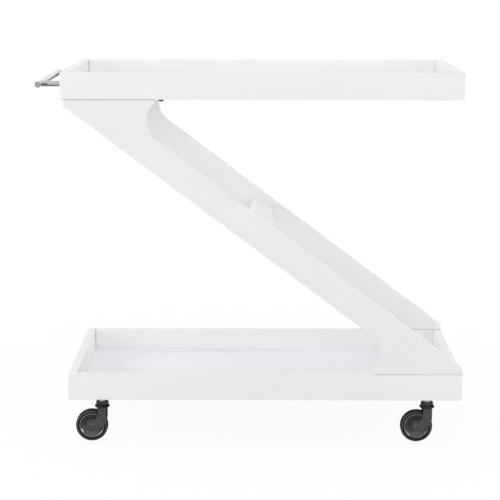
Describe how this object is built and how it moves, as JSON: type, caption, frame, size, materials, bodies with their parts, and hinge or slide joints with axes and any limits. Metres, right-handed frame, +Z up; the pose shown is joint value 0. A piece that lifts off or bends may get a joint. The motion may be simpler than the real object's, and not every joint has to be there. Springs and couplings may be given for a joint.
{
  "type": "service cart",
  "caption": "White Z-shaped service cart: lipped upper and lower trays on slanted side panels, with a steel pull bar and swivel castors.",
  "frame": {"origin": "on the floor, at the middle of the cart's overall length and depth", "axes": "+X along the trays away from the pull bar, -Y the pictured front, +Z up"},
  "size_m": [0.937, 0.48, 0.8267],
  "materials": {
    "white_lacquer": "satin white paint",
    "dowel_beech": "raw beech",
    "zinc_steel": "bright zinc",
    "brushed_steel": "brushed stainless",
    "black_plastic": "moulded, semi-gloss",
    "black_steel": "black passivated",
    "black_rubber": "smooth tread",
    "nylon": "natural nylon"
  },
  "bodies": {
    "root": {"top_front_wall": "white_lacquer", "top_back_wall": "white_lacquer", "top_left_wall": "white_lacquer", "top_right_wall": "white_lacquer", "bottom_front_wall": "white_lacquer", "bottom_back_wall": "white_lacquer", "bottom_left_wall": "white_lacquer", "bottom_right_wall": "white_lacquer", "top_floor": "white_lacquer", "bottom_floor": "white_lacquer", "front_panel": "white_lacquer", "rear_panel": "white_lacquer", "cross_rail": "white_lacquer", "top_corner_dowels": "dowel_beech", "bottom_corner_dowels": "dowel_beech", "rail_dowels": "dowel_beech", "panel_dowels": "dowel_beech", "top_panel_screws": "zinc_steel", "bottom_panel_screws": "zinc_steel", "handle_screws": "zinc_steel", "castor_inserts": "zinc_steel", "castor_nuts": "zinc_steel", "handle_bar": "brushed_steel", "handle_post_front": "brushed_steel", "handle_post_rear": "brushed_steel", "push_in_buttons": "black_plastic", "front_left_castor_stem": "zinc_steel", "front_left_castor_cup": "black_plastic", "front_left_castor_balls": "zinc_steel", "front_right_castor_stem": "zinc_steel", "front_right_castor_cup": "black_plastic", "front_right_castor_balls": "zinc_steel", "rear_left_castor_stem": "zinc_steel", "rear_left_castor_cup": "black_plastic", "rear_left_castor_balls": "zinc_steel", "rear_right_castor_stem": "zinc_steel", "rear_right_castor_cup": "black_plastic", "rear_right_castor_balls": "zinc_steel"},
    "front_left_swivel": {"front_left_castor_fork": "black_plastic", "front_left_castor_axle": "black_steel"},
    "front_left_wheel": {"front_left_wheel_core": "black_plastic", "front_left_tyre": "black_rubber", "front_left_wheel_bush": "nylon"},
    "front_right_swivel": {"front_right_castor_fork": "black_plastic", "front_right_castor_axle": "black_steel"},
    "front_right_wheel": {"front_right_wheel_core": "black_plastic", "front_right_tyre": "black_rubber", "front_right_wheel_bush": "nylon"},
    "rear_left_swivel": {"rear_left_castor_fork": "black_plastic", "rear_left_castor_axle": "black_steel"},
    "rear_left_wheel": {"rear_left_wheel_core": "black_plastic", "rear_left_tyre": "black_rubber", "rear_left_wheel_bush": "nylon"},
    "rear_right_swivel": {"rear_right_castor_fork": "black_plastic", "rear_right_castor_axle": "black_steel"},
    "rear_right_wheel": {"rear_right_wheel_core": "black_plastic", "rear_right_tyre": "black_rubber", "rear_right_wheel_bush": "nylon"}
  },
  "joints": [
    {"name": "front_left_swivel_turn", "type": "hinge", "parent": "root", "child": "front_left_swivel", "pos_m": [-0.3312, -0.19, 0.08], "axis": [0, 0, 1], "continuous": true},
    {"name": "front_left_wheel_roll", "type": "hinge", "parent": "front_left_swivel", "child": "front_left_wheel", "pos_m": [-0.3546, -0.19, 0.03575], "axis": [0, 1, 0], "continuous": true},
    {"name": "front_right_swivel_turn", "type": "hinge", "parent": "root", "child": "front_right_swivel", "pos_m": [0.3956, -0.19, 0.08], "axis": [0, 0, 1], "continuous": true},
    {"name": "front_right_wheel_roll", "type": "hinge", "parent": "front_right_swivel", "child": "front_right_wheel", "pos_m": [0.3722, -0.19, 0.03575], "axis": [0, 1, 0], "continuous": true},
    {"name": "rear_left_swivel_turn", "type": "hinge", "parent": "root", "child": "rear_left_swivel", "pos_m": [-0.3312, 0.19, 0.08], "axis": [0, 0, 1], "continuous": true},
    {"name": "rear_left_wheel_roll", "type": "hinge", "parent": "rear_left_swivel", "child": "rear_left_wheel", "pos_m": [-0.3546, 0.19, 0.03575], "axis": [0, 1, 0], "continuous": true},
    {"name": "rear_right_swivel_turn", "type": "hinge", "parent": "root", "child": "rear_right_swivel", "pos_m": [0.3956, 0.19, 0.08], "axis": [0, 0, 1], "continuous": true},
    {"name": "rear_right_wheel_roll", "type": "hinge", "parent": "rear_right_swivel", "child": "rear_right_wheel", "pos_m": [0.3722, 0.19, 0.03575], "axis": [0, 1, 0], "continuous": true}
  ]
}
